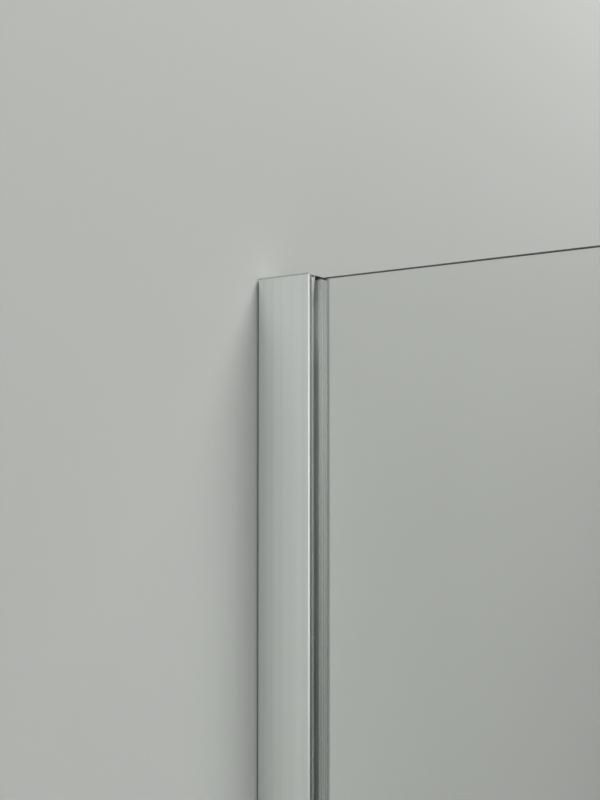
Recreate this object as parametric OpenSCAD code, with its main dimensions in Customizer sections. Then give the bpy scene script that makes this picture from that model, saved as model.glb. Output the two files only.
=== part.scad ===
// Hinged shower door for a niche between two walls. A fixed glass panel stands in a satin aluminium
// wall profile, a glass door leaf hangs from it on two rising hinges and closes on a magnetic strip
// in the opposite wall profile. X runs along the glass from the first wall, Y across the glass with
// the dry side at minus Y, and Z up from the tray. The origin is on the first wall's face.

/* [Overall] */
// Distance between the two walls
niche_w = 900; // [840:10:1100]
// Height of the wall profiles
height = 2000; // [1800:10:2200]
// Thickness of both glass panes
glass_t = 6; // [5:0.5:8]
// Distance from the wall to the free edge of the fixed pane
fixed_w = 300; // [260:10:360]
// Width of the ground bevel round the edges of both panes
arris = 0.3; // [0.2:0.05:1]

/* [Glazing profile] */
// Distance from the middle of the glass to the front face of both visible profiles
front_reach = 10; // [9.5:0.1:13]
// Distance from the middle of the glass to the back face of both visible profiles
back_reach = 14; // [11:0.1:16]
// Depth of the glazing profile, from its wall edge to its mouth
prof_d = 35; // [34:0.5:45]
// Wall thickness of both visible profiles
prof_t = 1.6; // [1.4:0.1:2]
// Shadow gap between the visible profiles and the walls
prof_gap = 1; // [0.5:0.1:3]
// Radius of the outer corners
prof_r = 0.8; // [0.4:0.1:1.2]
// Depth of the pocket that the glass edge stands in
pocket_d = 11; // [10:0.5:14]
// Thickness of the lips at the pocket's mouth
lip_t = 1.4; // [1:0.1:1.8]
// Height of the lips and ribs that hold the seals
lip_h = 1; // [0.7:0.1:1.2]
// Distance from the pocket's floor to the glass edge
edge_gap = 2.5; // [1:0.1:3]
// Distance that the top of the glass lies below the top of the profile
glass_drop = 2.3; // [1:0.1:6]

/* [Wall channels] */
// Wall thickness of the channels that are screwed to the walls
chan_t = 1.5; // [1.2:0.1:1.8]
// Depth of the channels
chan_d = 20; // [16:0.5:21]
// Gap between a channel and the visible profile around it
chan_fit = 0.2; // [0.1:0.05:0.4]
// Diameter of the wall screw holes
wall_hole_d = 5.5; // [4.5:0.1:6.5]
// Distance from the profile ends to the first wall screw hole
wall_hole_inset = 100; // [60:5:200]
// Distance from the wall to the side screws that lock a visible profile
lock_x = 12; // [8:0.5:15]
// Thread diameter of the locking screws
lock_d = 3.5; // [3:0.1:4]

/* [Profile caps] */
// Thickness of the lids on top of the visible profiles
lid_t = 0.8; // [0.6:0.1:1.5]
// Depth that a cap's plug reaches into its channel
cap_plug = 8; // [5:0.5:15]
// Length of the glazing cap's tapered foot, beside the glass
cap_foot = 40; // [10:1:60]
// Thickness of that foot at its lower tip
foot_tip = 1; // [0.6:0.1:2]
// Length of the cap's tongue behind the glass edge
cap_tongue = 9; // [6:0.5:14]
// Gap between the cap's lid and the tops of the glazing seals
seal_drop = 1.1; // [0.4:0.1:3]

/* [Glazing seals] */
// Open gap between the nose of a seal and the glass
nose_gap = 1.9; // [1.5:0.1:2.8]
// Thickness of the seal lip that presses on the glass
press_t = 1.6; // [1:0.1:2]

/* [Threshold] */
// Width of the threshold, across the glass
sill_w = 28; // [26:0.5:40]
// Height of the threshold's flat top
sill_h = 8; // [6:0.5:12]
// Height of the threshold's outer edges
sill_edge = 2; // [1.5:0.1:3]
// Wall thickness of the threshold
sill_t = 1.8; // [1.4:0.1:2]
// Height of the water dam above the threshold's flat top
dam_h = 3; // [2:0.1:5]
// Thickness of the strip between the threshold and the fixed pane
strip_t = 3; // [2:0.1:5]

/* [Clip-on seals] */
// Wall thickness of the clear clip-on seals
clip_t = 1; // [0.8:0.05:1.3]
// Length of the clip legs on the glass
clip_leg = 10; // [8:0.5:14]
// Gap between the threshold and the glass of the door leaf
leaf_gap = 12; // [9:0.5:16]
// Gap that a seal's edge keeps to the face it closes on
seal_air = 0.4; // [0.3:0.05:0.8]

/* [Hinges] */
// Gap between the fixed pane and the door leaf
hinge_gap = 8; // [6:0.5:10]
// Distance from the profile ends to the middle of a hinge
hinge_inset = 250; // [150:10:350]
// Height of a hinge without its caps
hinge_h = 72; // [68:1:90]
// Radius of the hinge barrel
barrel_r = 8; // [7.5:0.1:10]
// Gap between the barrel and the plane of the glass
barrel_air = 1; // [0.6:0.1:2]
// Width of a hinge leaf from the barrel's gap to its outer edge
leaf_w = 44; // [38:1:60]
// Thickness of a hinge leaf on the dry side
leaf_t = 5; // [4:0.1:6]
// Thickness of the clamp plates on the wet side
back_t = 3; // [2.8:0.1:4]
// Thickness of the gaskets between plate and glass
gasket_t = 1; // [0.5:0.1:1.5]
// Corner radius of the hinge plates
plate_r = 4; // [2:0.5:7]
// Bevel around the face of the hinge leaves
plate_bevel = 0.8; // [0.4:0.1:1.2]
// Distance between the two clamp screws of a plate
screw_pitch = 40; // [32:1:46]
// Thread diameter of the clamp screws
clamp_d = 6; // [5:0.5:7]
// Diameter of the glass holes for the clamp screws
clamp_hole_d = 12; // [11:0.5:14]

/* [Rising cams] */
// Rise of the door leaf over a quarter turn
rise_90 = 6; // [4:0.25:7]
// Thickness of the cam collars beside their ramps
collar_t = 3; // [2:0.25:4]
// Diameter of the hinge pin
pin_d = 6; // [5:0.1:7]
// Gap between the two cams, measured upright
cam_air = 0.15; // [0.1:0.01:0.3]
// Radial running clearance of the pin
run_fit = 0.05; // [0.03:0.01:0.09]
// Wall thickness of the cam bushes around the pin
bush_t = 1.9; // [1.5:0.1:2.2]
// Thickness of the caps on the barrel ends
barrel_cap_t = 1.5; // [1:0.1:2.5]

/* [Strike side] */
// Depth of the strike profile, from its wall edge to its front
strike_d = 27; // [26:0.5:36]
// Depth of the groove that holds the strike seal
strike_groove = 4; // [3.5:0.1:5]
// Distance that the strike seal stands out of the profile
strike_proud = 1.5; // [1:0.1:2.5]
// Gap between the closed magnets' seals
magnet_air = 1; // [0.8:0.1:2]
// Width of the magnetic strips
magnet_w = 8; // [6:0.5:9]
// Thickness of the magnetic strips
magnet_t = 3; // [2:0.1:3]

/* [Handle] */
// Distance from the leaf's free glass edge to the handle
handle_inset = 60; // [40:5:120]
// Height of the handle's middle
handle_z = 1050; // [900:10:1150]
// Length of the handle bar
handle_l = 220; // [190:5:400]
// Distance between the handle's posts
post_pitch = 160; // [120:5:180]
// Diameter of the handle bar
bar_d = 14; // [12:0.5:20]
// Clear distance between the glass and the bar
finger_gap = 36; // [30:1:50]
// Diameter of the handle posts
post_d = 11; // [10.5:0.5:12]
// Diameter of the round feet of the posts
foot_d = 22; // [20:0.5:28]
// Diameter of the through studs
stud_d = 6; // [5:0.5:8]
// Diameter of the glass holes for the studs
stud_hole_d = 12; // [11:0.5:15]

/* [Hidden] */
$fn = 48;
ALU = [0.74, 0.75, 0.74];
STEEL = [0.66, 0.67, 0.67];
GLASS = [0.80, 0.87, 0.85, 0.35];
CLEAR = [0.84, 0.88, 0.87, 0.6];
MAGNET = [0.22, 0.20, 0.19];
NYLON = [0.90, 0.90, 0.88];
GREY = [0.62, 0.64, 0.64];

// Glazing profile and its pocket
prof_top = height - lid_t;
mouth_x = prof_gap + prof_d;
floor_x = mouth_x - pocket_d;
front_in = front_reach - prof_t;
back_in = back_reach - prof_t;
middle_y = (back_reach - front_reach) / 2;
glass_y = glass_t / 2;
nose_y = glass_y + nose_gap;
groove_x0 = floor_x + edge_gap + lip_t / 2;
groove_x1 = mouth_x - lip_t;
fixed_x0 = floor_x + edge_gap;
glass_top = height - glass_drop;

// Wall channels
chan_front = chan_fit - front_in;
chan_back = back_in - chan_fit;
chan_h = prof_top - 1;
lock_zs = [1.5 * wall_hole_inset, height / 2, height - 1.5 * wall_hole_inset];
wall_hole_zs = [for (s = [-3, -1, 1, 3]) height / 2 + s * (height / 2 - wall_hole_inset) / 3];
lock_fit = 0.05;
lock_head_h = prof_t * 0.7;

// Threshold and panes
fixed_z0 = sill_h + strip_t;
leaf_z0 = sill_h + leaf_gap;
leaf_x0 = fixed_w + hinge_gap;
strike_x = niche_w - prof_gap - strike_d;
strike_seal_x = strike_x - strike_proud;
magnet_wall = 0.8;
seal_play = 0.1;
magnet_seal_d = magnet_t + 2 * magnet_wall + clip_t + 2 * seal_play;
leaf_x1 = strike_seal_x - magnet_air - magnet_seal_d;
dam_y = glass_y + clip_t + 3;
dam_t = 1.5;

// Hinges, in a frame whose origin is on the hinge axis at the hinge's middle
HINGES = ["upper_hinge", "lower_hinge"];
axis_x = fixed_w + hinge_gap / 2;
axis_y = -glass_y - barrel_air - barrel_r;
hinge_zs = [height - hinge_inset, hinge_inset];
face_y = barrel_r + barrel_air;
back_y = face_y + glass_t;
leaf_air = 1.5;
leaf_x = barrel_r + leaf_air;
screw_x = leaf_x + leaf_w / 2;
sleeve_fit = 0.2;
screw_fit = 0.1;
clamp_head_r = clamp_d * 0.9;
clamp_head_h = clamp_d * 0.4;
clamp_bite = leaf_t * 0.7;

// Rising cams: the ramps fall anticlockwise, so the leaf rises as it turns clockwise, outwards
lead = 4 * rise_90;
ramp_h = lead / 2;
ramp_steps = 36;
cam_turn = 52.5;
stop_air = 1;
cam_base_z = -hinge_h / 12;
cam_low_z = cam_base_z + collar_t;
cam_top_z = cam_low_z + ramp_h + collar_t;
pin_r = pin_d / 2;
bush_r = pin_r + run_fit + bush_t;
bush_fit = 0.02;
hex_r = pin_r * 0.96;
hex_fit = 0.06;
hex_top_z = cam_base_z - 2;
bush_low_z = -hinge_h / 2 + 8;
bush_high_z = hinge_h / 2 - 6;
pin_head_t = 2.5;
pin_head_air = 0.1;
cap_plug_z = 3;

// Handle
handle_x = leaf_x1 - handle_inset;
washer_t = 1;
foot_t = 3;
bar_y = glass_y + finger_gap + bar_d / 2;
bar_round = 2;
stud_bite = 12;
stud_fit = 0.1;

FIXED_NODES = [
    "wall_channel_fixed", "wall_channel_strike", "glazing_profile", "strike_profile",
    "glazing_seal_outer", "glazing_seal_inner", "glazing_cap", "strike_cap",
    "glazing_lock_screws", "strike_lock_screws", "setting_block", "fixed_glass",
    "fixed_bottom_strip", "threshold", "strike_seal", "strike_magnet"
];
LEAF_NODES = [
    "door_glass", "hinge_edge_seal", "bottom_drip_seal", "magnet_seal", "door_magnet",
    "handle_outer", "handle_inner", "handle_studs", "handle_sleeves", "handle_washers"
];
HINGE_NODES = [
    "fixed_leaf", "fixed_back_plate", "fixed_gaskets", "fixed_screws", "fixed_sleeves", "fixed_cam",
    "bottom_cap", "pin", "door_leaf", "door_back_plate", "door_gaskets", "door_screws",
    "door_sleeves", "door_cam", "top_cap"
];

// Point where the tangent from p touches a circle of radius r round the origin, on its near side
function touch(p, r) = let (a = atan2(p[1], p[0]), b = acos(r / norm(p)))
    r * [cos(a + sign(-p[0]) * b), sin(a + sign(-p[0]) * b)];

// A block between two corners
module block(a, b) {
    translate(a) cube(b - a);
}

// A profile drawn in X and Y, extruded upwards between two heights
module upright(z0, z1) {
    translate([0, 0, z0]) linear_extrude(z1 - z0) children();
}

// A profile drawn in Y and Z, extruded along X between two places
module along_x(x0, x1) {
    translate([x0, 0, 0]) rotate([90, 0, 90]) linear_extrude(x1 - x0) children();
}

// A plate drawn in X and Z, with its faces at y0 and y1
module plate_y(y0, y1) {
    translate([0, y1, 0]) rotate([90, 0, 0]) linear_extrude(y1 - y0) children();
}

// A round bar or bore that runs along Y at x and z
module rod_y(x, z, r, y0, y1) {
    translate([x, y1, z]) rotate([90, 0, 0]) cylinder(r = r, h = y1 - y0);
}

// Rectangle with rounded corners, between two corners
module rounded(a, b, r) {
    translate([a[0] + r, a[1]]) square([b[0] - a[0] - 2 * r, b[1] - a[1]]);
    translate([a[0], a[1] + r]) square([b[0] - a[0], b[1] - a[1] - 2 * r]);
    for (x = [a[0] + r, b[0] - r], y = [a[1] + r, b[1] - r]) translate([x, y]) circle(r);
}

// Turns a piece that is drawn on the first wall round to the opposite wall
module at_strike_wall() {
    translate([niche_w, 0, 0]) mirror([1, 0, 0]) children();
}

// Channel that is screwed to a wall and hides in the visible profile
module wall_channel() {
    color(ALU) difference() {
        block([0, chan_front, 0], [chan_d, chan_back, chan_h]);
        block([chan_t, chan_front + chan_t, -1], [chan_d + 1, chan_back - chan_t, chan_h + 1]);
        for (z = wall_hole_zs) translate([-1, middle_y, z]) rotate([0, 90, 0])
            cylinder(d = wall_hole_d, h = chan_t + 2);
        for (z = lock_zs) rod_y(lock_x, z, lock_d / 2 + lock_fit, chan_back - chan_t - 1, chan_back + 1);
    }
}

// Countersunk screws that lock a visible profile to its channel from the wet side
module lock_screws() {
    head_r = lock_d;
    color(STEEL) for (z = lock_zs) difference() {
        union() {
            rod_y(lock_x, z, lock_d / 2, chan_back - chan_t - 3, back_reach - lock_head_h);
            translate([lock_x, back_reach - lock_head_h, z]) rotate([-90, 0, 0])
                cylinder(r1 = lock_d / 2, r2 = head_r - lock_fit, h = lock_head_h);
        }
        translate([lock_x, back_reach + 1, z]) rotate([90, 0, 0])
            cylinder(r = lock_d * 0.35, h = 1 + lock_head_h * 0.8, $fn = 6);
    }
}

// Countersunk holes for the locking screws, in a visible profile's wet side
module lock_holes() {
    for (z = lock_zs) {
        rod_y(lock_x, z, lock_d / 2 + lock_fit, back_in - 1, back_reach);
        translate([lock_x, back_reach - lock_head_h, z]) rotate([-90, 0, 0])
            cylinder(r1 = lock_d / 2 + lock_fit, r2 = lock_d, h = lock_head_h + 0.001);
    }
}

// Outline of a visible profile: round at its front corners and open towards the wall
module profile_shell(front_x, web_x) {
    difference() {
        rounded([prof_gap, -front_reach], [front_x, back_reach], prof_r);
        translate([prof_gap - 1, -front_in]) square([web_x - prof_t - prof_gap + 1, front_in + back_in]);
    }
}

// Visible profile on the first wall, with the pocket that takes the fixed pane
module glazing_profile() {
    color(ALU) difference() {
        upright(0, prof_top) {
            difference() {
                profile_shell(mouth_x, floor_x);
                translate([floor_x, -front_in]) square([pocket_d - lip_t, front_in + back_in]);
                translate([groove_x1 - 1, lip_h - front_in])
                    square([lip_t + 2, front_in + back_in - 2 * lip_h]);
            }
            for (y = [-front_in, back_in - lip_h]) translate([groove_x0 - lip_t, y]) square([lip_t, lip_h]);
        }
        lock_holes();
    }
}

// Clear seal in the profile's outer lip, with an open nose and a lip that presses on the glass
module glazing_seal_outer() {
    play = seal_play / 2;
    front_x = mouth_x - 0.2;
    soft = 0.3;
    color(CLEAR) upright(0, prof_top - seal_drop) scale([1, -1]) polygon([
        [groove_x0 + play, front_in], [groove_x1 - play, front_in], [groove_x1 - play, front_in - lip_h],
        [front_x, front_in - lip_h], [front_x, nose_y + soft], [front_x - soft, nose_y],
        [groove_x0 + press_t + 1.2, nose_y], [groove_x0 + press_t + 0.4, glass_y],
        [groove_x0 + 0.4, glass_y], [groove_x0 + play, nose_y]
    ]);
}

// Clear wedge that is pushed in last behind the glass and fills the profile's inner lip
module glazing_seal_inner() {
    play = seal_play / 2;
    front_x = mouth_x - 0.2;
    soft = 0.5;
    color(CLEAR) upright(0, prof_top - seal_drop) polygon([
        [groove_x0 + play, back_in], [groove_x1 - play, back_in], [groove_x1 - play, back_in - lip_h],
        [front_x - soft, back_in - lip_h], [front_x, back_in - lip_h - soft],
        [front_x, glass_y + soft], [front_x - soft, glass_y],
        [groove_x0 + 0.4, glass_y], [groove_x0 + play, nose_y]
    ]);
}

// Cap on the top of a visible profile: a thin lid, and a plug that clips into the wall channel
module profile_cap(front_x) {
    play = 0.1;
    y0 = chan_front + chan_t + play;
    y1 = chan_back - chan_t - play;
    upright(prof_top, height) rounded([prof_gap, -front_reach], [front_x, back_reach], prof_r);
    difference() {
        block([chan_t + play, y0, chan_h - cap_plug], [chan_d - play, y1, prof_top]);
        block([2 * chan_t, y0 + 1, chan_h - cap_plug - 1], [chan_d - chan_t, y1 - 1, chan_h - 1]);
    }
}

// Cap of the glazing profile, with a tapered foot beside the glass and a tongue behind its edge
module glazing_cap() {
    play = 0.15;
    tongue_y0 = play + lip_h - front_in;
    tongue_y1 = back_in - lip_h - play;
    foot_x = groove_x0 + press_t + 1.2 + play;
    color(GREY) {
        profile_cap(mouth_x);
        translate([0, -glass_y - play, prof_top]) rotate([90, 0, 0]) linear_extrude(nose_gap - 2 * play)
            polygon([[foot_x, 0], [mouth_x - 0.4, 0], [foot_x + foot_tip, -cap_foot], [foot_x, -cap_foot]]);
        block([floor_x + play, tongue_y0, prof_top - cap_tongue], [fixed_x0 - play, tongue_y1, prof_top]);
    }
}

module strike_cap() {
    color(GREY) at_strike_wall() profile_cap(prof_gap + strike_d);
}

// Block that carries the fixed pane inside the glazing profile
module setting_block() {
    color(NYLON) block([floor_x + 0.5, -glass_y, 0], [mouth_x - 0.5, glass_y, fixed_z0]);
}

// Section of a pane from u0 to u1, with ground bevels along both edges
function pane_section(u0, u1) = [
    [u0, arris - glass_y], [u0 + arris, -glass_y], [u1 - arris, -glass_y], [u1, arris - glass_y],
    [u1, glass_y - arris], [u1 - arris, glass_y], [u0 + arris, glass_y], [u0, glass_y - arris]
];

// Glass pane between two corners in X and Z, with holes at the given places
module pane(a, b, holes, d) {
    color(GLASS) difference() {
        intersection() {
            upright(a[1], b[1]) polygon(pane_section(a[0], b[0]));
            along_x(a[0], b[0]) polygon([for (p = pane_section(a[1], b[1])) [p[1], p[0]]]);
        }
        for (p = holes) rod_y(p[0], p[1], d / 2, -glass_y - 1, glass_y + 1);
    }
}

// Places of the clamp screws on one side of the hinge axis, in the door's own frame
function clamp_places(side) =
    [for (z = hinge_zs, s = [-1, 1]) [axis_x + side * screw_x, z + s * screw_pitch / 2]];

module fixed_glass() {
    pane([fixed_x0, fixed_z0], [fixed_w, glass_top], clamp_places(-1), clamp_hole_d);
}

module door_glass() {
    difference() {
        pane([leaf_x0, leaf_z0], [leaf_x1, glass_top], clamp_places(1), clamp_hole_d);
        for (s = [-1, 1])
            rod_y(handle_x, handle_z + s * post_pitch / 2, stud_hole_d / 2, -glass_y - 1, glass_y + 1);
    }
}

// Clear strip between the threshold and the fixed pane
module fixed_bottom_strip() {
    color(CLEAR) along_x(mouth_x, fixed_w) difference() {
        translate([-glass_y - clip_t, sill_h]) square([glass_t + 2 * clip_t, strip_t + clip_leg]);
        translate([-glass_y, fixed_z0]) square([glass_t, clip_leg + 1]);
    }
}

// Hollow threshold with a water dam behind the door leaf
module threshold() {
    flat_y = dam_y + dam_t;
    color(ALU) along_x(mouth_x, strike_x) difference() {
        union() {
            polygon([
                [-sill_w / 2, 0], [sill_w / 2, 0], [sill_w / 2, sill_edge], [flat_y, sill_h],
                [-flat_y, sill_h], [-sill_w / 2, sill_edge]
            ]);
            translate([dam_y, 0]) square([dam_t, sill_h + dam_h - dam_t / 2]);
            translate([dam_y + dam_t / 2, sill_h + dam_h - dam_t / 2]) circle(d = dam_t);
        }
        for (s = [-1, 1]) translate([s * flat_y / 2 - (flat_y - sill_t) / 2, sill_t])
            square([flat_y - sill_t, sill_h - 2 * sill_t]);
    }
}

// Clip that grips a glass edge at the origin; the glass stands towards plus V and the legs lie on it
module clip_section() {
    translate([-glass_y - clip_t, -clip_t]) difference() {
        square([glass_t + 2 * clip_t, clip_t + clip_leg]);
        translate([clip_t, clip_t]) square([glass_t, clip_leg + 1]);
    }
}

// Drip seal under the door leaf, with a fin above the threshold and a deflector on the wet side. Its legs
// stop short of the upright seals' legs.
module bottom_drip_seal() {
    fin = clip_t * 0.8;
    deflector_y = dam_y + dam_t;
    leg_end = clip_leg + seal_air;
    color(CLEAR) along_x(leaf_x0 + leg_end, leaf_x1 - leg_end) translate([0, leaf_z0]) clip_section();
    color(CLEAR) along_x(leaf_x0, leaf_x1) {
        translate([-glass_y - clip_t, leaf_z0 - clip_t]) square([glass_t + 2 * clip_t, clip_t]);
        translate([-glass_y, sill_h + seal_air])
            square([fin, leaf_gap - clip_t - seal_air + 0.1]);
        translate([0, leaf_z0 - clip_t]) polygon([
            [glass_y - fin, 0.1], [glass_y + fin, 0.1],
            [deflector_y + fin, clip_t + dam_h + 1.5 - leaf_gap], [deflector_y, clip_t + dam_h + 1 - leaf_gap]
        ]);
    }
}

// Bulb seal on the leaf's hinge edge, cut away at the hinges
module hinge_edge_seal() {
    cut = hinge_h / 2 + 3;
    bulb_r = (hinge_gap - clip_t - seal_air) / 2;
    edges = [leaf_z0, hinge_zs[1] - cut, hinge_zs[1] + cut, hinge_zs[0] - cut, hinge_zs[0] + cut, glass_top];
    color(CLEAR) for (i = [0, 2, 4]) upright(edges[i], edges[i + 1]) translate([leaf_x0, 0]) {
        rotate(-90) clip_section();
        translate([-clip_t - bulb_r, 0]) difference() {
            circle(bulb_r);
            circle(bulb_r - clip_t * 0.7);
        }
    }
}

// Chamber for a magnetic strip, drawn with its front face at x = 0 and the strip behind it
module magnet_chamber(depth, half_w) {
    difference() {
        translate([-depth, -half_w]) square([depth, 2 * half_w]);
        translate([-magnet_wall - magnet_t - 2 * seal_play, -magnet_w / 2 - seal_play])
            square([magnet_t + 2 * seal_play, magnet_w + 2 * seal_play]);
    }
}

module magnet_strip(front_x, z0) {
    color(MAGNET) upright(z0, glass_top)
        translate([front_x, -magnet_w / 2]) square([magnet_t, magnet_w]);
}

// Seal on the leaf's free edge, with a chamber for the door's magnet
module magnet_seal() {
    front_x = leaf_x1 + magnet_seal_d;
    half_w = max(glass_y + clip_t, magnet_w / 2 + magnet_wall + seal_play);
    color(CLEAR) upright(leaf_z0, glass_top) {
        translate([leaf_x1, 0]) rotate(90) clip_section();
        translate([front_x, 0]) magnet_chamber(magnet_seal_d - clip_t + 0.01, half_w);
    }
}

module door_magnet() {
    magnet_strip(leaf_x1 + magnet_seal_d - magnet_wall - seal_play - magnet_t, leaf_z0);
}

// Visible profile on the second wall, with a groove in its front for the strike seal
module strike_profile() {
    front = prof_gap + strike_d;
    color(ALU) at_strike_wall() difference() {
        upright(0, prof_top) {
            difference() {
                profile_shell(front, front - strike_groove);
                translate([front - strike_groove, -front_in]) square([strike_groove + 1, 2 * front_in]);
            }
        }
        lock_holes();
    }
}

// Seal in the strike profile, with a chamber for the magnet and a lip that stops the leaf
module strike_seal() {
    z0 = sill_h + dam_h + 1;
    body_d = strike_groove + strike_proud;
    body_y = front_in - seal_play;
    stop_y = max(glass_y + clip_t, magnet_w / 2 + magnet_wall + seal_play) + 0.5;
    color(CLEAR) upright(z0, glass_top) translate([strike_seal_x, 0]) {
        mirror([1, 0]) magnet_chamber(body_d, body_y);
        translate([-magnet_air - magnet_seal_d / 2, stop_y])
            square([magnet_air + magnet_seal_d / 2 + 1, clip_t]);
    }
}

module strike_magnet() {
    magnet_strip(strike_seal_x + magnet_wall + seal_play, sill_h + dam_h + 1);
}

// Outline of a hinge plate on one side of the axis, in X and Z
module plate_outline(side, inset) {
    scale([side, 1]) rounded(
        [leaf_x + inset, inset - hinge_h / 2], [leaf_x + leaf_w - inset, hinge_h / 2 - inset],
        plate_r - inset
    );
}

// Heights of the two screw holes in a hinge plate
clamp_zs = [-screw_pitch / 2, screw_pitch / 2];

// Hinge leaf with its knuckle: side -1 holds the fixed pane and side 1 the door leaf
module hinge_leaf(side) {
    z0 = side < 0 ? -hinge_h / 2 : cam_top_z;
    z1 = side < 0 ? cam_base_z : hinge_h / 2;
    rear_y = face_y - gasket_t;
    front_y = rear_y - leaf_t;
    root = [side * (leaf_x + plate_r * 2.5), front_y];
    tangent = touch(root, barrel_r);
    color(STEEL) difference() {
        union() {
            hull() {
                plate_y(front_y + plate_bevel, rear_y) plate_outline(side, 0);
                plate_y(front_y, rear_y) plate_outline(side, plate_bevel);
            }
            upright(z0, z1) {
                circle(barrel_r);
                polygon([root, tangent, [0, 0], [0, rear_y - 0.01], [root[0], rear_y - 0.01]]);
            }
        }
        upright(z0 - 1, z1 + 1) circle(bush_r);
        for (z = clamp_zs)
            rod_y(side * screw_x, z, clamp_d / 2 + screw_fit, rear_y - clamp_bite, rear_y + 1);
    }
}

// Clamp plate on the wet side of the glass
module back_plate(side) {
    y0 = back_y + gasket_t;
    y1 = y0 + back_t;
    color(STEEL) difference() {
        hull() {
            plate_y(y0, y1 - plate_bevel) plate_outline(side, 0);
            plate_y(y0, y1) plate_outline(side, plate_bevel);
        }
        for (z = clamp_zs) {
            rod_y(side * screw_x, z, clamp_d / 2 + screw_fit, y0 - 1, y1);
            translate([side * screw_x, y1 - clamp_head_h, z]) rotate([-90, 0, 0])
                cylinder(r1 = clamp_d / 2 + screw_fit, r2 = clamp_head_r + screw_fit, h = clamp_head_h + 0.001);
        }
    }
}

// Gaskets between a pane and the two plates that clamp it
module gaskets(side) {
    color(GREY) for (y = [face_y - gasket_t, back_y]) difference() {
        plate_y(y, y + gasket_t) plate_outline(side, plate_bevel);
        for (z = clamp_zs) rod_y(side * screw_x, z, clamp_d / 2 + screw_fit, y - 1, y + gasket_t + 1);
    }
}

// Sleeves that keep the clamp screws off the glass
module clamp_sleeves(side) {
    color(NYLON) for (z = clamp_zs) difference() {
        rod_y(side * screw_x, z, clamp_hole_d / 2 - sleeve_fit, face_y, back_y);
        rod_y(side * screw_x, z, clamp_d / 2 + screw_fit, face_y - 1, back_y + 1);
    }
}

// Countersunk clamp screws, driven from the wet side into the hinge leaf
module clamp_screws(side) {
    tip_y = face_y - gasket_t - clamp_bite + 0.5;
    top_y = back_y + gasket_t + back_t;
    color(STEEL) for (z = clamp_zs) difference() {
        union() {
            rod_y(side * screw_x, z, clamp_d / 2, tip_y, top_y - clamp_head_h);
            translate([side * screw_x, top_y - clamp_head_h, z]) rotate([-90, 0, 0])
                cylinder(r1 = clamp_d / 2, r2 = clamp_head_r, h = clamp_head_h);
        }
        translate([side * screw_x, top_y + 1, z]) rotate([90, 0, 0])
            cylinder(r = clamp_d * 0.33, h = 1 + clamp_head_h * 0.8, $fn = 6);
    }
}

// Solid below one start of the ramp: a half turn that falls anticlockwise from z_top to z_top - ramp_h
module ramp_sector(z_bottom, z_top) {
    r_in = pin_r * 0.9;
    r_out = barrel_r + 0.5;
    rows = [for (i = [0 : ramp_steps]) let (a = 180 * i / ramp_steps, z = z_top - ramp_h * i / ramp_steps)
        [[r_in * cos(a), r_in * sin(a), z_bottom], [r_out * cos(a), r_out * sin(a), z_bottom],
         [r_out * cos(a), r_out * sin(a), z], [r_in * cos(a), r_in * sin(a), z]]];
    last = 4 * ramp_steps;
    polyhedron(
        points = [for (row = rows) for (p = row) p],
        faces = concat(
            [[2, 1, 0], [3, 2, 0], [last, last + 1, last + 2], [last, last + 2, last + 3]],
            [for (i = [0 : ramp_steps - 1]) for (j = [0 : 3]) for (half = [0, 1])
                let (a = 4 * i + j, b = 4 * i + (j + 1) % 4)
                    half == 0 ? [b, a + 4, a] : [b + 4, a + 4, b]]
        )
    );
}

// Both starts of the ramp, from a flat base up to a sliding face with its high edge at z_top
module ramp(z_bottom, z_top) {
    for (turn = [0, 180]) rotate(turn) ramp_sector(z_bottom, z_top);
}

// Lower cam bush, seated in the fixed knuckle, with a hexagon that keeps the pin from turning
module fixed_cam() {
    color(NYLON) difference() {
        union() {
            upright(bush_low_z, cam_base_z + collar_t / 2) circle(bush_r - bush_fit);
            difference() {
                upright(cam_base_z, cam_top_z) circle(barrel_r);
                rotate(cam_turn) rotate([180, 0, 0]) ramp(-cam_top_z - 1, -cam_low_z);
            }
        }
        upright(hex_top_z, cam_top_z + 1) circle(pin_r + run_fit);
        upright(bush_low_z - 1, hex_top_z + 1) circle(hex_r + hex_fit, $fn = 6);
    }
}

// Upper cam bush, seated in the leaf's knuckle, which turns on the pin and slides up the lower cam
module door_cam() {
    slip = lead * stop_air / 360;
    color(NYLON) difference() {
        union() {
            difference() {
                upright(cam_low_z, cam_top_z) circle(barrel_r);
                rotate(cam_turn - stop_air) ramp(cam_base_z, cam_low_z + ramp_h + cam_air + slip);
            }
            upright(cam_top_z - collar_t / 2, bush_high_z) circle(bush_r - bush_fit);
        }
        upright(cam_base_z, bush_high_z + 1) circle(pin_r + run_fit);
    }
}

// Hinge pin: its hexagon slides in the lower cam, and its head rides on the upper cam
module hinge_pin() {
    head_z = bush_high_z + pin_head_air;
    color(STEEL) {
        upright(bush_low_z + 1, hex_top_z + 1) circle(hex_r, $fn = 6);
        upright(hex_top_z + 0.1, head_z) circle(pin_r);
        upright(head_z, head_z + pin_head_t) circle(bush_r - 0.3);
    }
}

// Domed cap on one end of the barrel, drawn for the upper end
module barrel_cap() {
    z = hinge_h / 2;
    color(STEEL) {
        upright(z - cap_plug_z, z + 0.1) circle(bush_r - bush_fit);
        translate([0, 0, z]) cylinder(r1 = barrel_r, r2 = barrel_r - barrel_cap_t * 0.6, h = barrel_cap_t);
    }
}

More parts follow.
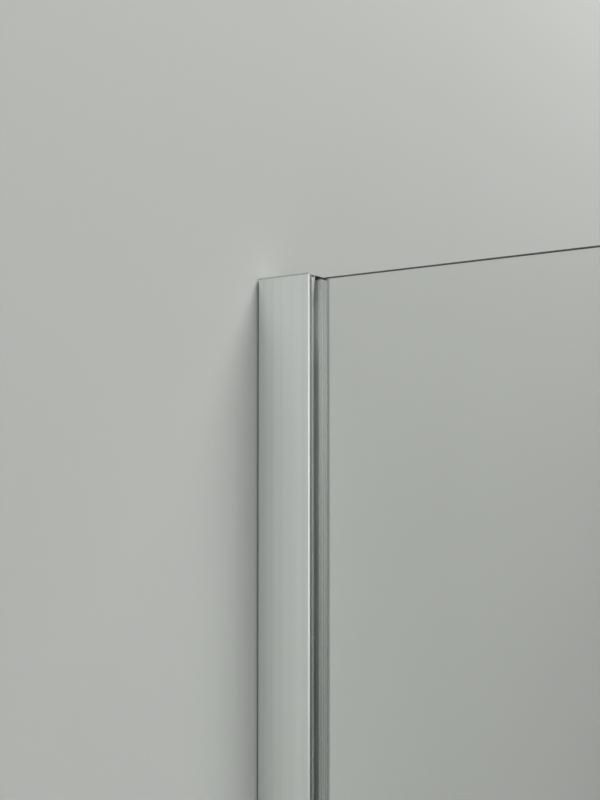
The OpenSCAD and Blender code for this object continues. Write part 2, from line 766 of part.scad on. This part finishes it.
// One half of the handle: side -1 is the dry side of the leaf and side 1 the wet side
module handle_half(side) {
    color(STEEL) difference() {
        union() {
            translate([handle_x, side * bar_y, handle_z - handle_l / 2]) rotate_extrude() polygon([
                [0, 0], [bar_d / 2 - bar_round, 0],
                for (a = [0 : 15 : 90]) [bar_d / 2 - bar_round + bar_round * sin(a), bar_round - bar_round * cos(a)],
                for (a = [0 : 15 : 90])
                    [bar_d / 2 - bar_round + bar_round * cos(a), handle_l - bar_round + bar_round * sin(a)],
                [0, handle_l]
            ]);
            for (s = [-1, 1]) translate([handle_x, side * (glass_y + washer_t), handle_z + s * post_pitch / 2])
                rotate([-side * 90, 0, 0]) {
                    cylinder(d1 = foot_d, d2 = foot_d - 1, h = foot_t);
                    cylinder(d = post_d, h = bar_y - glass_y - washer_t);
                }
        }
        for (s = [-1, 1]) translate([handle_x, side * glass_y, handle_z + s * post_pitch / 2])
            rotate([-side * 90, 0, 0]) cylinder(d = stud_d + 2 * stud_fit, h = stud_bite + 1);
    }
}

// Studs that pull the two handle halves together through the leaf
module handle_studs() {
    reach = glass_y + stud_bite;
    color(STEEL) for (s = [-1, 1])
        rod_y(handle_x, handle_z + s * post_pitch / 2, stud_d / 2, -reach, reach);
}

// Sleeves that keep the studs off the glass
module handle_sleeves() {
    color(NYLON) for (s = [-1, 1]) difference() {
        rod_y(handle_x, handle_z + s * post_pitch / 2, stud_hole_d / 2 - sleeve_fit, -glass_y, glass_y);
        rod_y(handle_x, handle_z + s * post_pitch / 2, stud_d / 2 + stud_fit, -glass_y - 1, glass_y + 1);
    }
}

// Soft washers under the handle's feet
module handle_washers() {
    color(CLEAR) for (s = [-1, 1], y = [-glass_y - washer_t, glass_y]) difference() {
        rod_y(handle_x, handle_z + s * post_pitch / 2, foot_d / 2, y, y + washer_t);
        rod_y(handle_x, handle_z + s * post_pitch / 2, stud_d / 2 + stud_fit, y - 1, y + washer_t + 1);
    }
}

wall_channel();  // wall_channel_fixed
at_strike_wall() wall_channel();  // wall_channel_strike
glazing_profile();
strike_profile();
glazing_seal_outer();
glazing_seal_inner();
glazing_cap();
strike_cap();
lock_screws();  // glazing_lock_screws
at_strike_wall() lock_screws();  // strike_lock_screws
setting_block();
fixed_glass();
fixed_bottom_strip();
threshold();
strike_seal();
strike_magnet();
door_glass();
hinge_edge_seal();
bottom_drip_seal();
magnet_seal();
door_magnet();
handle_half(-1);  // handle_outer
handle_half(1);  // handle_inner
handle_studs();
handle_sleeves();
handle_washers();
for (i = [0, 1]) translate([axis_x, axis_y, hinge_zs[i]]) {
    hinge_leaf(-1);
    back_plate(-1);
    gaskets(-1);
    clamp_screws(-1);
    clamp_sleeves(-1);
    fixed_cam();
    mirror([0, 0, 1]) barrel_cap();
    hinge_pin();
    hinge_leaf(1);
    back_plate(1);
    gaskets(1);
    clamp_screws(1);
    clamp_sleeves(1);
    door_cam();
    barrel_cap();
}
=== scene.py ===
import math
import bpy
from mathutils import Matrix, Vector


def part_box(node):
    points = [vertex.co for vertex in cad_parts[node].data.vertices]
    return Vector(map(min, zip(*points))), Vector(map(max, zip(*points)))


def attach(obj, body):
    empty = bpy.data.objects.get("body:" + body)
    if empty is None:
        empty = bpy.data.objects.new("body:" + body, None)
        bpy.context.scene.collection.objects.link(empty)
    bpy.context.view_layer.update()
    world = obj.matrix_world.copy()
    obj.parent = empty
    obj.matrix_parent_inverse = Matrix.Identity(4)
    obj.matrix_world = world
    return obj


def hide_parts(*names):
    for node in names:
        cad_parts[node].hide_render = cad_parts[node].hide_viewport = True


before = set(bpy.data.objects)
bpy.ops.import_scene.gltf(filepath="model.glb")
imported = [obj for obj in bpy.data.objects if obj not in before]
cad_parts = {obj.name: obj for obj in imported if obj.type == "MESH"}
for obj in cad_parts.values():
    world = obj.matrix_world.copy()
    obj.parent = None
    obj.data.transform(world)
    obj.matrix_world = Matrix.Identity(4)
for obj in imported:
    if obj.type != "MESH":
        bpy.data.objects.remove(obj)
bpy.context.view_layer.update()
bpy.ops.object.select_all(action="DESELECT")


# The photographer's place. The camera stands in front of the shower, a little below the top of the door, and
# looks at the top corner of the wall profile. Its lens and angles were fitted to the edges in the picture.

photo_height_px = 800
lens_px = 801.8
sensor_mm = 36
turn_deg = 33.99
tilt_up_deg = 1.44
eye = (0.2772, -0.3767, 1.9188)

bpy.ops.object.camera_add(location=eye)
camera = bpy.context.object
camera.rotation_euler = (math.radians(90 + tilt_up_deg), 0, math.radians(turn_deg))
camera.data.sensor_width = sensor_mm
camera.data.lens = sensor_mm * lens_px / photo_height_px
camera.data.clip_start = 0.01
bpy.context.scene.camera = camera


# The room. A smooth pale grey plastered wall carries the first profile, and the door stands on a pale
# floor. Neither belongs to the door. The wall shows from its room side only, and it is open behind the wall
# channel, so that light reaches the channel's back.

wall_grey = (0.47, 0.482, 0.462, 1)
floor_grey = (0.46, 0.46, 0.45, 1)
wall_left, wall_right, wall_high = -3.0, 4.2, 4.4
floor_middle, floor_size = (0.6, 0, 0), 6


def new_finish(name):
    finish = bpy.data.materials.new(name)
    finish.use_nodes = True
    tree = finish.node_tree
    return finish, tree.nodes, tree.links, tree.nodes["Principled BSDF"]


def in_object_space(nodes):
    return nodes.new("ShaderNodeTexCoord").outputs["Object"]


def noise(nodes, links, vector, scale, detail=3.0, roughness=0.5):
    pattern = nodes.new("ShaderNodeTexNoise")
    pattern.inputs["Scale"].default_value = scale
    pattern.inputs["Detail"].default_value = detail
    pattern.inputs["Roughness"].default_value = roughness
    links.new(vector, pattern.inputs["Vector"])
    return pattern.outputs["Fac"]


def blend_colours(nodes, links, share, first, second):
    mix = nodes.new("ShaderNodeMix")
    mix.data_type = "RGBA"
    for socket, colour in ((mix.inputs[6], first), (mix.inputs[7], second)):
        if isinstance(colour, tuple):
            socket.default_value = colour
        else:
            links.new(colour, socket)
    links.new(share, mix.inputs[0])
    return mix.outputs[2]


def darkened(colour, share):
    return tuple(part * share for part in colour[:3]) + (1,)


def bump(nodes, links, height, strength, distance):
    relief = nodes.new("ShaderNodeBump")
    relief.inputs["Strength"].default_value = strength
    relief.inputs["Distance"].default_value = distance
    links.new(height, relief.inputs["Height"])
    return relief.outputs["Normal"]


def painted_surface(name, colour):
    finish, nodes, links, shader = new_finish(name)
    place = in_object_space(nodes)
    clouds = noise(nodes, links, place, scale=3.0, detail=4)
    tone = blend_colours(nodes, links, clouds, darkened(colour, 0.985), colour)
    links.new(tone, shader.inputs["Base Color"])
    grain = noise(nodes, links, place, scale=600.0, detail=2)
    links.new(bump(nodes, links, grain, strength=0.05, distance=0.0002), shader.inputs["Normal"])
    shader.inputs["Roughness"].default_value = 0.75
    shader.inputs["Specular IOR Level"].default_value = 0.25
    return finish


def hide_from_behind(finish):
    nodes, links = finish.node_tree.nodes, finish.node_tree.links
    side = nodes.new("ShaderNodeNewGeometry").outputs["Backfacing"]
    clear = nodes.new("ShaderNodeBsdfTransparent")
    both = nodes.new("ShaderNodeMixShader")
    links.new(side, both.inputs["Fac"])
    links.new(nodes["Principled BSDF"].outputs["BSDF"], both.inputs[1])
    links.new(clear.outputs["BSDF"], both.inputs[2])
    links.new(both.outputs["Shader"], nodes["Material Output"].inputs["Surface"])


def wall_sheet(left, right, bottom):
    middle = (0, (left + right) / 2, (bottom + wall_high) / 2)
    bpy.ops.mesh.primitive_plane_add(size=1, location=middle, rotation=(0, math.radians(90), 0))
    sheet = bpy.context.object
    sheet.scale = (wall_high - bottom, right - left, 1)
    bpy.ops.object.transform_apply(location=True, rotation=True, scale=True)
    return sheet


channel_low, channel_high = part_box("wall_channel_fixed")
sheets = [
    wall_sheet(wall_left, channel_low[1], 0),
    wall_sheet(channel_high[1], wall_right, 0),
    wall_sheet(channel_low[1], channel_high[1], channel_high[2]),
]
for sheet in sheets:
    sheet.select_set(True)
bpy.ops.object.join()
wall = bpy.context.object
wall.name = "plastered_wall"
wall_paint = painted_surface("wall paint", wall_grey)
hide_from_behind(wall_paint)
wall.data.materials.append(wall_paint)

bpy.ops.mesh.primitive_plane_add(size=floor_size, location=floor_middle)
floor = bpy.context.object
floor.name = "pale_floor"
bpy.ops.object.transform_apply(location=True, rotation=True, scale=True)
floor.data.materials.append(painted_surface("floor paint", floor_grey))


# The light. Soft ceiling panels near the first wall light the room from above, so the profile shades the
# wall beside it. Tall soft lamps in front and at the side light the wide face and draw the bright line down
# its corner. No lamp is seen through the panes.

door_top = Vector((0.05, 0, 1.7))


def soft_lamp(name, place, width, tall, watts):
    bpy.ops.object.light_add(type="AREA", location=place)
    lamp = bpy.context.object
    lamp.name = name
    lamp.data.shape = "ELLIPSE" if width == tall else "RECTANGLE"
    lamp.data.size = width
    lamp.data.size_y = tall
    lamp.data.energy = watts
    lamp.visible_transmission = False
    lamp.rotation_euler = (door_top - Vector(place)).to_track_quat("-Z", "Y").to_euler()


soft_lamp("ceiling_panel", (1.4, 0.8, 4.4), width=1.6, tall=1.6, watts=81.5)
soft_lamp("ceiling_panel_front", (1.4, 0.0, 4.4), width=1.6, tall=1.6, watts=11.2)
soft_lamp("ceiling_panel_right", (0.6, 1.3, 4.4), width=1.4, tall=1.4, watts=12.7)
soft_lamp("front_window", (1.0, -3.5, 1.9), width=3.0, tall=3.6, watts=20)
soft_lamp("front_strip", (0.45, -3.5, 1.9), width=1.0, tall=3.6, watts=7.2)
soft_lamp("side_window", (3.4, -1.6, 1.8), width=1.8, tall=3.2, watts=27.6)
soft_lamp("shower_ceiling", (2.4, 3.6, 3.5), width=2.0, tall=1.0, watts=4)

room = bpy.data.worlds.new("pale room")
room.use_nodes = True
room.node_tree.nodes["Background"].inputs["Color"].default_value = (0.80, 0.81, 0.80, 1)
room.node_tree.nodes["Background"].inputs["Strength"].default_value = 0.205
bpy.context.scene.world = room
bpy.context.scene.view_settings.view_transform = "Standard"


# Wall channels: two mill-finish aluminium extrusions, screwed to the walls through their webs. They hide
# inside the visible profiles. The die leaves fine lines along them.

def long_grain_group():
    group = bpy.data.node_groups.new("long grain", "ShaderNodeTree")
    group.interface.new_socket("Vector", in_out="INPUT", socket_type="NodeSocketVector")
    for name in ("Lines per metre", "Breaks per metre"):
        group.interface.new_socket(name, in_out="INPUT", socket_type="NodeSocketFloat")
    for name in ("Lines", "Bands"):
        group.interface.new_socket(name, in_out="OUTPUT", socket_type="NodeSocketFloat")
    nodes, links = group.nodes, group.links
    inside, outside = nodes.new("NodeGroupInput"), nodes.new("NodeGroupOutput")
    for output, share_of_lines in (("Lines", 1.0), ("Bands", 0.12)):
        across = nodes.new("ShaderNodeMath")
        across.operation = "MULTIPLY"
        across.inputs[1].default_value = share_of_lines
        links.new(inside.outputs["Lines per metre"], across.inputs[0])
        stretch = nodes.new("ShaderNodeCombineXYZ")
        links.new(across.outputs[0], stretch.inputs["X"])
        links.new(across.outputs[0], stretch.inputs["Y"])
        links.new(inside.outputs["Breaks per metre"], stretch.inputs["Z"])
        scaled = nodes.new("ShaderNodeVectorMath")
        scaled.operation = "MULTIPLY"
        links.new(inside.outputs["Vector"], scaled.inputs[0])
        links.new(stretch.outputs[0], scaled.inputs[1])
        drawn = noise(nodes, links, scaled.outputs[0], scale=1.0, roughness=0.6)
        links.new(drawn, outside.inputs[output])
    return group


long_grain = long_grain_group()


# Most of the noise lies between these two values, so a finish runs from its low end to its high end there.
noise_low, noise_high = 0.3, 0.7


def spread(nodes, links, value, low, high):
    stretch = nodes.new("ShaderNodeMapRange")
    stretch.inputs["From Min"].default_value = noise_low
    stretch.inputs["From Max"].default_value = noise_high
    stretch.inputs["To Min"].default_value = low
    stretch.inputs["To Max"].default_value = high
    links.new(value, stretch.inputs["Value"])
    return stretch.outputs["Result"]


def grained_metal(name, dark, light, rough, lines, breaks, turn=(0, 0, 0), depth=0.00002, sheen_across=0.0):
    finish, nodes, links, shader = new_finish(name)
    lie = nodes.new("ShaderNodeMapping")
    lie.inputs["Rotation"].default_value = turn
    links.new(in_object_space(nodes), lie.inputs["Vector"])
    grain = nodes.new("ShaderNodeGroup")
    grain.node_tree = long_grain
    grain.inputs["Lines per metre"].default_value = lines
    grain.inputs["Breaks per metre"].default_value = breaks
    links.new(lie.outputs["Vector"], grain.inputs["Vector"])
    streaks = spread(nodes, links, grain.outputs["Bands"], 0.0, 1.0)
    links.new(blend_colours(nodes, links, streaks, dark, light), shader.inputs["Base Color"])
    links.new(spread(nodes, links, grain.outputs["Lines"], *rough), shader.inputs["Roughness"])
    links.new(bump(nodes, links, grain.outputs["Lines"], 0.35, depth), shader.inputs["Normal"])
    shader.inputs["Metallic"].default_value = 1.0
    if sheen_across:
        shader.inputs["Anisotropic"].default_value = sheen_across
        around = nodes.new("ShaderNodeTangent")
        around.direction_type = "RADIAL"
        around.axis = "Z"
        links.new(around.outputs["Tangent"], shader.inputs["Tangent"])
    return finish


def dress(finish, *names):
    for name in names:
        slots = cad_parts[name].data.materials
        slots.clear()
        slots.append(finish)


mill_aluminium = grained_metal(
    "mill aluminium", dark=(0.60, 0.61, 0.60, 1), light=(0.72, 0.73, 0.72, 1), rough=(0.32, 0.46),
    lines=1400, breaks=3,
)
dress(mill_aluminium, "wall_channel_fixed", "wall_channel_strike")


# Visible profiles: satin anodised aluminium extrusions, brushed lengthways and locked to the wall channels
# with screws. One holds the fixed pane, the other the strike seal. The pane's profile carries painted shade:
# its wide face is painted a little darker beside the wall, and its lip beside the near seal is painted grey,
# more so lower down.

out_of_wall, through_glass, upwards = (1, 0, 0), (0, 1, 0), (0, 0, 1)


def fade_group():
    group = bpy.data.node_groups.new("fade along an axis", "ShaderNodeTree")
    for name in ("Place", "Axis"):
        group.interface.new_socket(name, in_out="INPUT", socket_type="NodeSocketVector")
    for name in ("Start", "End", "Before", "After", "Share"):
        group.interface.new_socket(name, in_out="INPUT", socket_type="NodeSocketFloat")
    group.interface.new_socket("Share", in_out="OUTPUT", socket_type="NodeSocketFloat")
    nodes, links = group.nodes, group.links
    inside, outside = nodes.new("NodeGroupInput"), nodes.new("NodeGroupOutput")
    along = nodes.new("ShaderNodeVectorMath")
    along.operation = "DOT_PRODUCT"
    links.new(inside.outputs["Place"], along.inputs[0])
    links.new(inside.outputs["Axis"], along.inputs[1])
    ramp = nodes.new("ShaderNodeMapRange")
    links.new(along.outputs["Value"], ramp.inputs["Value"])
    links.new(inside.outputs["Start"], ramp.inputs["From Min"])
    links.new(inside.outputs["End"], ramp.inputs["From Max"])
    links.new(inside.outputs["Before"], ramp.inputs["To Min"])
    links.new(inside.outputs["After"], ramp.inputs["To Max"])
    both = nodes.new("ShaderNodeMath")
    both.operation = "MULTIPLY"
    links.new(inside.outputs["Share"], both.inputs[0])
    links.new(ramp.outputs["Result"], both.inputs[1])
    links.new(both.outputs[0], outside.inputs["Share"])
    return group


fade_along_axis = fade_group()


def fade(axis, start, end, before=0.0, after=1.0):
    return {"Axis": axis, "Start": start, "End": end, "Before": before, "After": after, "Share": 1.0}


def lay_tone(finish, tone, *fades):
    nodes, links = finish.node_tree.nodes, finish.node_tree.links
    base = nodes["Principled BSDF"].inputs["Base Color"]
    share = None
    for values in fades:
        step = nodes.new("ShaderNodeGroup")
        step.node_tree = fade_along_axis
        for socket, value in values.items():
            step.inputs[socket].default_value = value
        links.new(in_object_space(nodes), step.inputs["Place"])
        if share:
            links.new(share, step.inputs["Share"])
        share = step.outputs["Share"]
    links.new(blend_colours(nodes, links, share, base.links[0].from_socket, tone), base)


satin_anodised = grained_metal(
    "satin anodised aluminium", dark=(0.895, 0.92, 0.91, 1), light=(0.96, 0.985, 0.975, 1),
    rough=(0.30, 0.40), lines=2200, breaks=1.5, sheen_across=0.55,
)
dress(satin_anodised, "strike_profile")

painted_shade_satin = satin_anodised.copy()
painted_shade_satin.name = "satin anodised aluminium, painted shade"
profile_low, profile_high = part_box("glazing_profile")
front, mouth, profile_top = profile_low[1], profile_high[0], profile_high[2]
lip_start, lip_end = front + 0.0005, front + 0.0027
painted_wall_side_shade = (0.0, 0.06, 0.02, 1)
painted_lip_shade = (0.38, 0.40, 0.39, 1)
# Painted shade: the wide face is painted a little darker near the wall.
lay_tone(painted_shade_satin, painted_wall_side_shade, fade(out_of_wall, 0.006, 0.022, before=0.11, after=0.0))
# Painted shade: the lip's end beside the near seal is painted grey, fully lower down and a quarter as much
# near the top.
lay_tone(
    painted_shade_satin, painted_lip_shade,
    fade(out_of_wall, mouth - 0.0004, mouth - 0.0001),
    fade(through_glass, lip_start, lip_start + 0.0003),
    fade(through_glass, lip_end, lip_end + 0.0005, before=1.0, after=0.0),
    fade(upwards, profile_top - 0.26, profile_top - 0.02, before=1.0, after=0.25),
)
dress(painted_shade_satin, "glazing_profile")


# Profile caps: grey moulded plastic lids over the tops of both profiles. A plug under each is pressed into
# the wall channel, and the first cap also has a tapered foot and a tongue beside the pane's edge.

def moulded_plastic(name, colour, rough):
    finish, nodes, links, shader = new_finish(name)
    place = in_object_space(nodes)
    clouds = noise(nodes, links, place, scale=60.0)
    links.new(blend_colours(nodes, links, clouds, darkened(colour, 0.9), colour), shader.inputs["Base Color"])
    pores = noise(nodes, links, place, scale=2700.0, detail=2)
    links.new(spread(nodes, links, pores, *rough), shader.inputs["Roughness"])
    links.new(bump(nodes, links, pores, strength=0.3, distance=0.00003), shader.inputs["Normal"])
    return finish


cap_plastic = moulded_plastic("grey cap plastic", (0.53, 0.54, 0.53, 1), rough=(0.42, 0.6))
dress(cap_plastic, "glazing_cap", "strike_cap")


# Threshold: a low hollow aluminium bar, bonded to the tray between the profiles. It is brushed along its
# length, and its rib keeps water in behind the leaf.

sill_finish = grained_metal(
    "satin threshold", dark=(0.60, 0.615, 0.60, 1), light=(0.76, 0.775, 0.765, 1), rough=(0.30, 0.42),
    lines=1800, breaks=2.5, turn=(0, math.radians(90), 0),
)
dress(sill_finish, "threshold")


# Panes: 6 mm clear toughened float glass, cut, drilled and ground before toughening. The fixed pane stands
# in the glazing profile's pocket, and the leaf hangs from the hinges. Sleeves line the drilled holes.

edge_bevel = 0.00015
hole_play = 0.0002
face_play = 0.00004
hole_sides = 48
drill_length = 0.02


def clear_glass(name):
    finish, nodes, links, shader = new_finish(name)
    shader.inputs["Base Color"].default_value = (0.94, 0.95, 0.94, 1)
    shader.inputs["Transmission Weight"].default_value = 1.0
    shader.inputs["IOR"].default_value = 1.5
    smears = noise(nodes, links, in_object_space(nodes), scale=45.0, detail=4)
    links.new(spread(nodes, links, smears, 0.0, 0.012), shader.inputs["Roughness"])
    clear = nodes.new("ShaderNodeBsdfTransparent")
    clear.inputs["Color"].default_value = (0.93, 0.95, 0.94, 1)
    shade = nodes.new("ShaderNodeLightPath").outputs["Is Shadow Ray"]
    both = nodes.new("ShaderNodeMixShader")
    links.new(shade, both.inputs["Fac"])
    links.new(shader.outputs["BSDF"], both.inputs[1])
    links.new(clear.outputs["BSDF"], both.inputs[2])
    links.new(both.outputs["Shader"], nodes["Material Output"].inputs["Surface"])
    return finish


def ground_glass_edge(name):
    finish, nodes, links, shader = new_finish(name)
    chatter = noise(nodes, links, in_object_space(nodes), scale=1500.0)
    tone = blend_colours(nodes, links, chatter, (0.002, 0.004, 0.003, 1), (0.005, 0.009, 0.007, 1))
    links.new(tone, shader.inputs["Base Color"])
    links.new(spread(nodes, links, chatter, 0.22, 0.4), shader.inputs["Roughness"])
    links.new(bump(nodes, links, chatter, strength=0.2, distance=0.00003), shader.inputs["Normal"])
    shader.inputs["Specular IOR Level"].default_value = 0.06
    return finish


pane_glass = clear_glass("clear float glass")
pane_edge = ground_glass_edge("ground pane edge")


def drill_holes(pane, sleeve):
    low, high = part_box(sleeve)
    radius = (high[0] - low[0]) / 2
    for height in (low[2] + radius, high[2] - radius):
        bpy.ops.mesh.primitive_cylinder_add(
            vertices=hole_sides, radius=radius + hole_play, depth=drill_length,
            location=(low[0] + radius, 0, height), rotation=(math.radians(90), 0, 0),
        )
        drill = bpy.context.object
        bpy.context.view_layer.objects.active = pane
        cut = pane.modifiers.new("drilled hole", "BOOLEAN")
        cut.operation = "DIFFERENCE"
        cut.solver = "EXACT"
        cut.object = drill
        bpy.ops.object.modifier_apply(modifier=cut.name)
        bpy.data.objects.remove(drill)


def drilled_pane(name, node, body, sleeves):
    low, high = (Vector(corner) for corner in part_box(node))
    bpy.ops.mesh.primitive_cube_add(size=1, location=(low + high) / 2)
    pane = bpy.context.object
    pane.name = name
    pane.scale = high - low - Vector((0, 2 * face_play, 0))
    bpy.ops.object.transform_apply(location=True, rotation=True, scale=True)
    bpy.ops.object.mode_set(mode="EDIT")
    bpy.ops.mesh.bevel(offset=edge_bevel, segments=1)
    bpy.ops.object.mode_set(mode="OBJECT")
    for sleeve in sleeves:
        drill_holes(pane, sleeve)
    pane.data.materials.append(pane_glass)
    pane.data.materials.append(pane_edge)
    for face in pane.data.polygons:
        is_wide_face = abs(face.normal.y) > 0.99
        face.material_index = 0 if is_wide_face else 1
    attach(pane, body)
    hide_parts(node)
    bpy.ops.object.select_all(action="DESELECT")


hinges = ("upper_hinge", "lower_hinge")
fixed_sleeves = [hinge + "_fixed_sleeves" for hinge in hinges]
leaf_sleeves = [hinge + "_door_sleeves" for hinge in hinges] + ["handle_sleeves"]
drilled_pane("fixed_pane", "fixed_glass", "frame", fixed_sleeves)
drilled_pane("leaf_pane", "door_glass", "leaf", leaf_sleeves)


# Clear seals: soft PVC extrusions that clip on the leaf's edges, stand in the strike profile or wedge the
# fixed pane in its pocket, and the washers under the handle. The two wedge strips are painted paler towards
# their top ends as painted light, palest at the top, and the outer strip's slit side beside the glass is
# painted dark as painted shade.

seal_rough = (0.15, 0.35)
seal_see_through = 0.25
drawn_upright = (1, 1, 0.005)
drawn_level = (0.005, 1, 1)


def soft_clear_plastic(name, colour, drawn):
    finish, nodes, links, shader = new_finish(name)
    lie = nodes.new("ShaderNodeMapping")
    lie.inputs["Scale"].default_value = drawn
    links.new(in_object_space(nodes), lie.inputs["Vector"])
    flow = noise(nodes, links, lie.outputs["Vector"], scale=700.0)
    links.new(blend_colours(nodes, links, flow, darkened(colour, 0.9), colour), shader.inputs["Base Color"])
    links.new(spread(nodes, links, flow, *seal_rough), shader.inputs["Roughness"])
    links.new(bump(nodes, links, flow, strength=0.2, distance=0.00004), shader.inputs["Normal"])
    shader.inputs["Transmission Weight"].default_value = seal_see_through
    shader.inputs["IOR"].default_value = 1.5
    return finish


seal_clear = (0.43, 0.455, 0.435, 1)
upright_seal = soft_clear_plastic("upright seal PVC", seal_clear, drawn_upright)
level_seal = soft_clear_plastic("level seal PVC", seal_clear, drawn_level)
dress(upright_seal, "strike_seal", "hinge_edge_seal", "magnet_seal", "handle_washers")
dress(level_seal, "fixed_bottom_strip", "bottom_drip_seal")

seal_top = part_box("glazing_seal_inner")[1][2]
touch_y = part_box("glazing_seal_inner")[0][1]
slit_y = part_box("glazing_seal_outer")[1][1] - 0.002
# Masks for the wedge strips' painted light and shade: rising towards the top, near the top, the inner strip's
# face on the glass, and the outer strip's slit side.
painted_light_upwards = fade(upwards, seal_top - 0.23, seal_top - 0.03)
painted_light_near_top = fade(upwards, seal_top - 0.05, seal_top)
glass_side = fade(through_glass, touch_y + 0.0001, touch_y + 0.0004, before=1.0, after=0.0)
slit_side = fade(through_glass, slit_y - 0.0006, slit_y, after=0.7)

inner_wedge = soft_clear_plastic("inner wedge PVC", (0.33, 0.345, 0.33, 1), drawn_upright)
# Painted light: paler towards the top, and the face on the glass painted near white at the top.
lay_tone(inner_wedge, (0.50, 0.52, 0.50, 1), painted_light_upwards)
lay_tone(inner_wedge, (0.97, 1.0, 0.98, 1), painted_light_near_top, glass_side)
dress(inner_wedge, "glazing_seal_inner")

outer_wedge = soft_clear_plastic("outer wedge PVC", (0.26, 0.275, 0.265, 1), drawn_upright)
# Painted light towards and at the top, and painted shade on the slit side beside the glass.
lay_tone(outer_wedge, (0.43, 0.45, 0.43, 1), painted_light_upwards)
lay_tone(outer_wedge, (0.06, 0.065, 0.062, 1), slit_side)
lay_tone(outer_wedge, (0.72, 0.74, 0.72, 1), painted_light_near_top)
dress(outer_wedge, "glazing_seal_outer")


# Magnetic strips: dark extruded magnetic rubber, slid into the chambers of the two strike-side seals. They
# pull the leaf shut over its last stretch.

magnet = moulded_plastic("magnetic rubber", (0.055, 0.048, 0.045, 1), rough=(0.55, 0.75))
dress(magnet, "strike_magnet", "door_magnet")


# White nylon pieces: the setting block under the fixed pane, the sleeves in the glass holes, and the hinges'
# cam bushes, which slide on each other and lift the leaf.

nylon = moulded_plastic("white nylon", (0.78, 0.78, 0.755, 1), rough=(0.3, 0.45))
dress(nylon, "setting_block", "handle_sleeves")
for hinge in hinges:
    dress(nylon, *(hinge + end for end in ("_fixed_sleeves", "_door_sleeves", "_fixed_cam", "_door_cam")))


# Hinges: satin-brushed brass bodies with a nickel skin, clamped to the glass through grey gaskets. Their
# knuckles turn on stainless pins, and turned stainless screws hold plates, profiles and handle.

hinge_metal = grained_metal(
    "satin hinge metal", dark=(0.58, 0.59, 0.58, 1), light=(0.65, 0.66, 0.65, 1), rough=(0.26, 0.36),
    lines=9000, breaks=30, depth=0.00001,
)
gasket = moulded_plastic("grey gasket sheet", (0.16, 0.17, 0.17, 1), rough=(0.6, 0.8))
screw_steel = grained_metal(
    "turned stainless", dark=(0.46, 0.47, 0.465, 1), light=(0.58, 0.59, 0.58, 1), rough=(0.16, 0.26),
    lines=4000, breaks=900,
)
bodies = ("_fixed_leaf", "_fixed_back_plate", "_bottom_cap", "_door_leaf", "_door_back_plate", "_top_cap")
for hinge in hinges:
    dress(hinge_metal, *(hinge + end for end in bodies))
    dress(gasket, hinge + "_fixed_gaskets", hinge + "_door_gaskets")
    dress(screw_steel, hinge + "_fixed_screws", hinge + "_door_screws", hinge + "_pin")
dress(screw_steel, "glazing_lock_screws", "strike_lock_screws", "handle_studs")


# Handle: two straight satin stainless bars, back to back on the two sides of the leaf. Each stands on two
# posts that screw onto studs through the glass.

bar_steel = grained_metal(
    "satin stainless bar", dark=(0.53, 0.54, 0.53, 1), light=(0.62, 0.63, 0.62, 1), rough=(0.24, 0.36),
    lines=8000, breaks=40, depth=0.00001,
)
dress(bar_steel, "handle_outer", "handle_inner")
